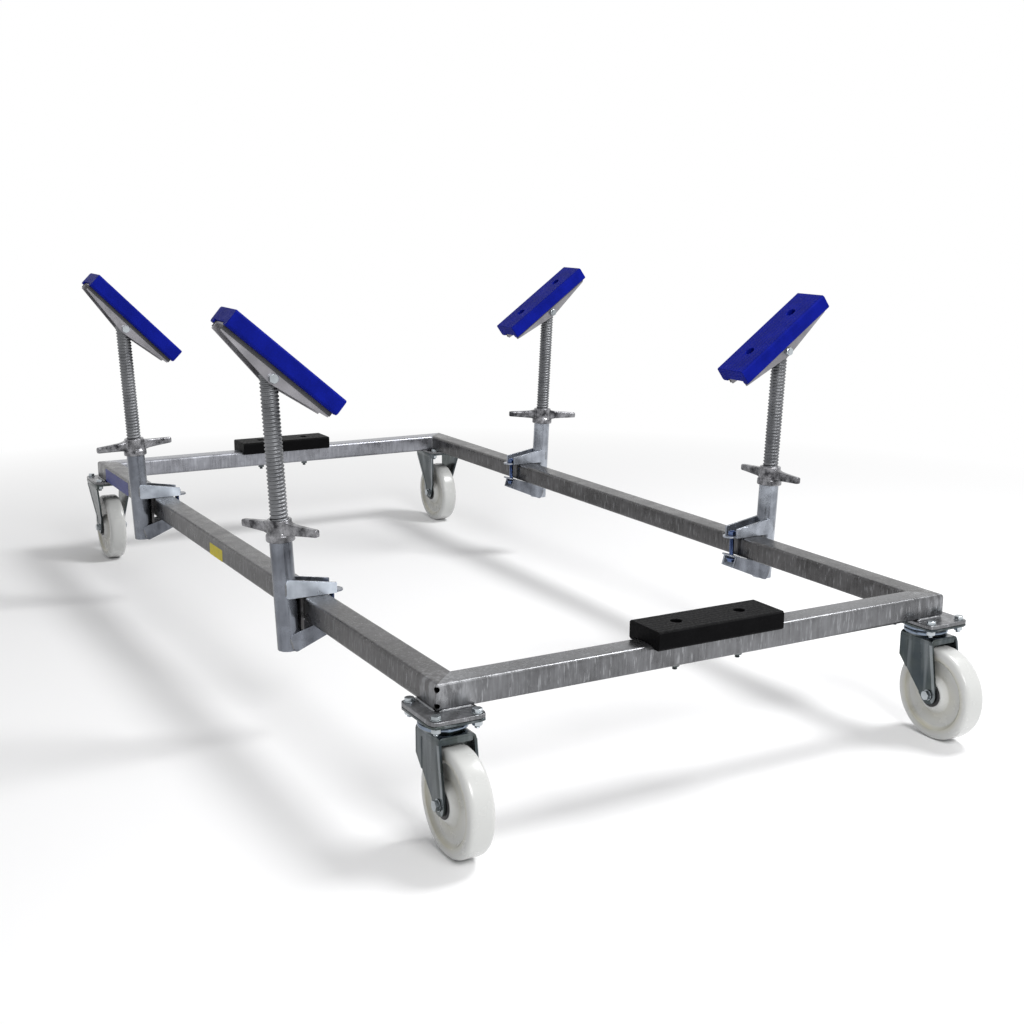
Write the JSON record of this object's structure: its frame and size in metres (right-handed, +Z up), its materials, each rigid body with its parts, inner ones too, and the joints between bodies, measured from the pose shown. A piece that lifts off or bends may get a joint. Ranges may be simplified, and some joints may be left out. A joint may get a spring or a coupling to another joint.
{
  "type": "wheeled boat stand",
  "caption": "Rectangular steel frame on two swivel and two fixed casters, with keel blocks and four clamped screw props whose tilting pads hold a hull.",
  "frame": {"origin": "on the floor, below the middle of the whole stand's box", "axes": "+X along the side rails towards the front end, which has the swivel casters; +Y to the left side; +Z up"},
  "size_m": [2.6025, 1.5346, 0.9247],
  "materials": {
    "galvanised": "hot-dip galvanised, satin",
    "zinc": "bright zinc plated",
    "cast": "galvanised casting",
    "nylon": "off-white nylon",
    "pad": "blue moulded pad",
    "rubber": "black moulded block"
  },
  "bodies": {
    "frame": {"rail_right": "galvanised", "rail_front": "galvanised", "rail_left": "galvanised", "rail_rear": "galvanised", "keel_block_front": "rubber", "keel_block_rear": "rubber", "corner_plate_front_right": "galvanised", "corner_plate_front_left": "galvanised", "corner_plate_rear_right": "galvanised", "corner_plate_rear_left": "galvanised", "caster_plate_front_right": "zinc", "caster_plate_front_left": "zinc", "caster_bracket_rear_right": "zinc", "axle_rear_right": "zinc", "caster_bracket_rear_left": "zinc", "axle_rear_left": "zinc"},
    "fork_front_right": {"fork_front_right": "zinc", "axle_front_right": "zinc"},
    "wheel_front_right": {"wheel_front_right": "nylon"},
    "fork_front_left": {"fork_front_left": "zinc", "axle_front_left": "zinc"},
    "wheel_front_left": {"wheel_front_left": "nylon"},
    "wheel_rear_right": {"wheel_rear_right": "nylon"},
    "wheel_rear_left": {"wheel_rear_left": "nylon"},
    "clamp_front_right": {"clamp_post_front_right": "galvanised", "tie_bolt_front_right": "zinc"},
    "nut_front_right": {"wing_nut_front_right": "cast"},
    "screw_front_right": {"screw_front_right": "galvanised", "pivot_bolt_front_right": "zinc"},
    "head_front_right": {"head_bracket_front_right": "galvanised", "pad_front_right": "pad"},
    "clamp_front_left": {"clamp_post_front_left": "galvanised", "tie_bolt_front_left": "zinc"},
    "nut_front_left": {"wing_nut_front_left": "cast"},
    "screw_front_left": {"screw_front_left": "galvanised", "pivot_bolt_front_left": "zinc"},
    "head_front_left": {"head_bracket_front_left": "galvanised", "pad_front_left": "pad"},
    "clamp_rear_right": {"clamp_post_rear_right": "galvanised", "tie_bolt_rear_right": "zinc"},
    "nut_rear_right": {"wing_nut_rear_right": "cast"},
    "screw_rear_right": {"screw_rear_right": "galvanised", "pivot_bolt_rear_right": "zinc"},
    "head_rear_right": {"head_bracket_rear_right": "galvanised", "pad_rear_right": "pad"},
    "clamp_rear_left": {"clamp_post_rear_left": "galvanised", "tie_bolt_rear_left": "zinc"},
    "nut_rear_left": {"wing_nut_rear_left": "cast"},
    "screw_rear_left": {"screw_rear_left": "galvanised", "pivot_bolt_rear_left": "zinc"},
    "head_rear_left": {"head_bracket_rear_left": "galvanised", "pad_rear_left": "pad"}
  },
  "joints": [
    {"name": "swivel_front_right", "type": "hinge", "parent": "frame", "child": "fork_front_right", "pos_m": [1.14775, -0.581, 0.2325], "axis": [0, 0, 1], "continuous": true},
    {"name": "wheel_spin_front_right", "type": "hinge", "parent": "fork_front_right", "child": "wheel_front_right", "pos_m": [1.20125, -0.581, 0.1], "axis": [0, 1, 0], "continuous": true},
    {"name": "swivel_front_left", "type": "hinge", "parent": "frame", "child": "fork_front_left", "pos_m": [1.14775, 0.581, 0.2325], "axis": [0, 0, 1], "continuous": true},
    {"name": "wheel_spin_front_left", "type": "hinge", "parent": "fork_front_left", "child": "wheel_front_left", "pos_m": [1.20125, 0.581, 0.1], "axis": [0, 1, 0], "continuous": true},
    {"name": "wheel_spin_rear_right", "type": "hinge", "parent": "frame", "child": "wheel_rear_right", "pos_m": [-1.20125, -0.581, 0.1], "axis": [0, 1, 0], "continuous": true},
    {"name": "wheel_spin_rear_left", "type": "hinge", "parent": "frame", "child": "wheel_rear_left", "pos_m": [-1.20125, 0.581, 0.1], "axis": [0, 1, 0], "continuous": true},
    {"name": "clamp_slide_front_right", "type": "slide", "parent": "frame", "child": "clamp_front_right", "axis": [1, 0, 0], "range_m": [-0.4285, 0.4398]},
    {"name": "nut_turn_front_right", "type": "hinge", "parent": "clamp_front_right", "child": "nut_front_right", "pos_m": [0.52225, -0.64245, 0.42894], "axis": [0, -0.0471, 0.9989], "range_deg": [-3600, 8100]},
    {"name": "screw_slide_front_right", "type": "slide", "parent": "clamp_front_right", "child": "screw_front_right", "axis": [0, -0.0471, 0.9989], "range_m": [-0.18, 0.08]},
    {"name": "head_tilt_front_right", "type": "hinge", "parent": "screw_front_right", "child": "head_front_right", "pos_m": [0.52225, -0.65861, 0.7716], "axis": [1, 0, 0], "range_deg": [-6.8, 93.2]},
    {"name": "clamp_slide_front_left", "type": "slide", "parent": "frame", "child": "clamp_front_left", "axis": [1, 0, 0], "range_m": [-0.4435, 0.4248]},
    {"name": "nut_turn_front_left", "type": "hinge", "parent": "clamp_front_left", "child": "nut_front_left", "pos_m": [0.53725, 0.64245, 0.42894], "axis": [0, 0.0471, 0.9989], "range_deg": [-3600, 8100]},
    {"name": "screw_slide_front_left", "type": "slide", "parent": "clamp_front_left", "child": "screw_front_left", "axis": [0, 0.0471, 0.9989], "range_m": [-0.18, 0.08]},
    {"name": "head_tilt_front_left", "type": "hinge", "parent": "screw_front_left", "child": "head_front_left", "pos_m": [0.53725, 0.65828, 0.7646], "axis": [-1, 0, 0], "range_deg": [-11.3, 88.7]},
    {"name": "clamp_slide_rear_right", "type": "slide", "parent": "frame", "child": "clamp_rear_right", "axis": [1, 0, 0], "range_m": [-0.4548, 0.458]},
    {"name": "nut_turn_rear_right", "type": "hinge", "parent": "clamp_rear_right", "child": "nut_rear_right", "pos_m": [-0.61425, -0.64245, 0.42894], "axis": [0, -0.0471, 0.9989], "range_deg": [-3600, 8100]},
    {"name": "screw_slide_rear_right", "type": "slide", "parent": "clamp_rear_right", "child": "screw_rear_right", "axis": [0, -0.0471, 0.9989], "range_m": [-0.18, 0.08]},
    {"name": "head_tilt_rear_right", "type": "hinge", "parent": "screw_rear_right", "child": "head_rear_right", "pos_m": [-0.61425, -0.65889, 0.7776], "axis": [1, 0, 0], "range_deg": [-2.3, 97.7]},
    {"name": "clamp_slide_rear_left", "type": "slide", "parent": "frame", "child": "clamp_rear_left", "axis": [1, 0, 0], "range_m": [-0.4879, 0.425]},
    {"name": "nut_turn_rear_left", "type": "hinge", "parent": "clamp_rear_left", "child": "nut_rear_left", "pos_m": [-0.58125, 0.64245, 0.42894], "axis": [0, 0.0471, 0.9989], "range_deg": [-3600, 8100]},
    {"name": "screw_slide_rear_left", "type": "slide", "parent": "clamp_rear_left", "child": "screw_rear_left", "axis": [0, 0.0471, 0.9989], "range_m": [-0.18, 0.08]},
    {"name": "head_tilt_rear_left", "type": "hinge", "parent": "screw_rear_left", "child": "head_rear_left", "pos_m": [-0.58125, 0.65899, 0.7796], "axis": [-1, 0, 0], "range_deg": [-11.3, 88.7]}
  ],
  "couplings": [
    {"joint": "screw_slide_front_right", "follows": "nut_turn_front_right", "m_per_rad": -0.0012732},
    {"joint": "screw_slide_front_left", "follows": "nut_turn_front_left", "m_per_rad": -0.0012732},
    {"joint": "screw_slide_rear_right", "follows": "nut_turn_rear_right", "m_per_rad": -0.0012732},
    {"joint": "screw_slide_rear_left", "follows": "nut_turn_rear_left", "m_per_rad": -0.0012732}
  ]
}
